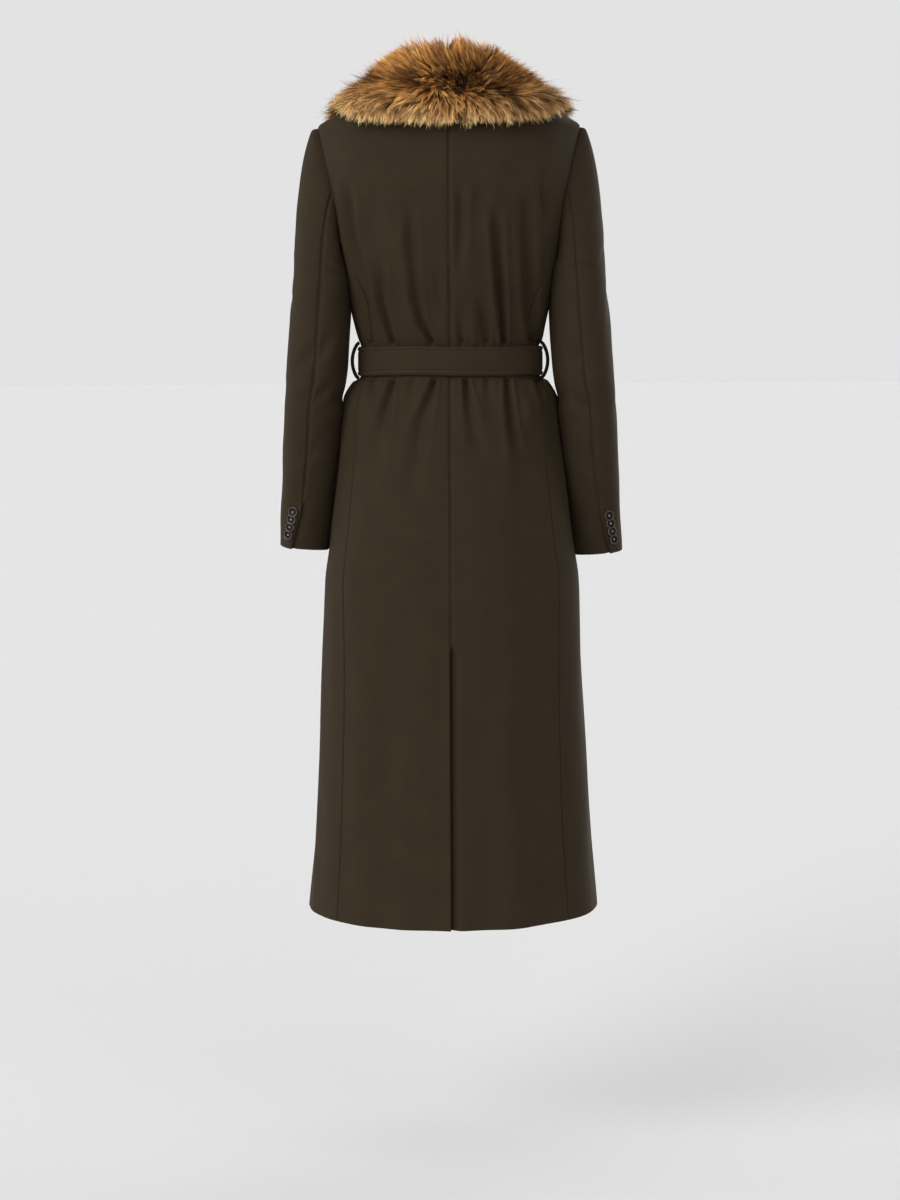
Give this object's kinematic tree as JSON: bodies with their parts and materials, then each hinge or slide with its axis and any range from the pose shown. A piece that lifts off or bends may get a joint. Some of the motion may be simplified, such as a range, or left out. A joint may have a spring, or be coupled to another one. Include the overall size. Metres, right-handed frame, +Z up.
{
  "type": "fur-trimmed coat",
  "caption": "Long belted wool coat with a wide rolled fur collar, shaped and hollow as worn, with a wrapped front, two-piece sleeves, buttoned cuffs and a back vent.",
  "frame": {"origin": "middle of the neck opening, level with the inner ends of the shoulder seams, where the wearer's shoulders carry the coat", "axes": "+Z up the coat, -Y out of its front, +X towards the wearer's left"},
  "size_m": [0.4948, 0.3016, 1.2331],
  "materials": {
    "wool": "soft brushed wool coating, dark olive brown",
    "fur": "long-haired golden brown fur with darker patches",
    "button": "polished dark horn"
  },
  "bodies": {
    "root": {"back_left_top": "wool", "back_left_hip": "wool", "back_left_skirt": "wool", "back_right_top": "wool", "back_right_hip": "wool", "back_right_skirt": "wool", "vent_underlap": "wool", "side_left_top": "wool", "side_left_hip": "wool", "side_left_skirt": "wool", "side_right_top": "wool", "side_right_hip": "wool", "side_right_skirt": "wool", "front_left_top": "wool", "front_left_hip": "wool", "front_left_skirt": "wool", "front_right_top": "wool", "front_right_hip": "wool", "front_right_skirt": "wool", "lapel_left": "wool", "lapel_right": "wool", "upper_sleeve_left_arm": "wool", "upper_sleeve_left_forearm": "wool", "upper_sleeve_right_arm": "wool", "upper_sleeve_right_forearm": "wool", "under_sleeve_left_arm": "wool", "under_sleeve_left_forearm": "wool", "under_sleeve_right_arm": "wool", "under_sleeve_right_forearm": "wool", "belt": "wool", "belt_knot": "wool", "belt_end_left": "wool", "belt_end_right": "wool", "belt_loop_left": "wool", "belt_loop_right": "wool", "fur_collar_left": "fur", "fur_collar_right": "fur", "cuff_button_left_1": "button", "cuff_button_left_2": "button", "cuff_button_left_3": "button", "cuff_button_left_4": "button", "cuff_button_right_1": "button", "cuff_button_right_2": "button", "cuff_button_right_3": "button", "cuff_button_right_4": "button"}
  },
  "joints": []
}
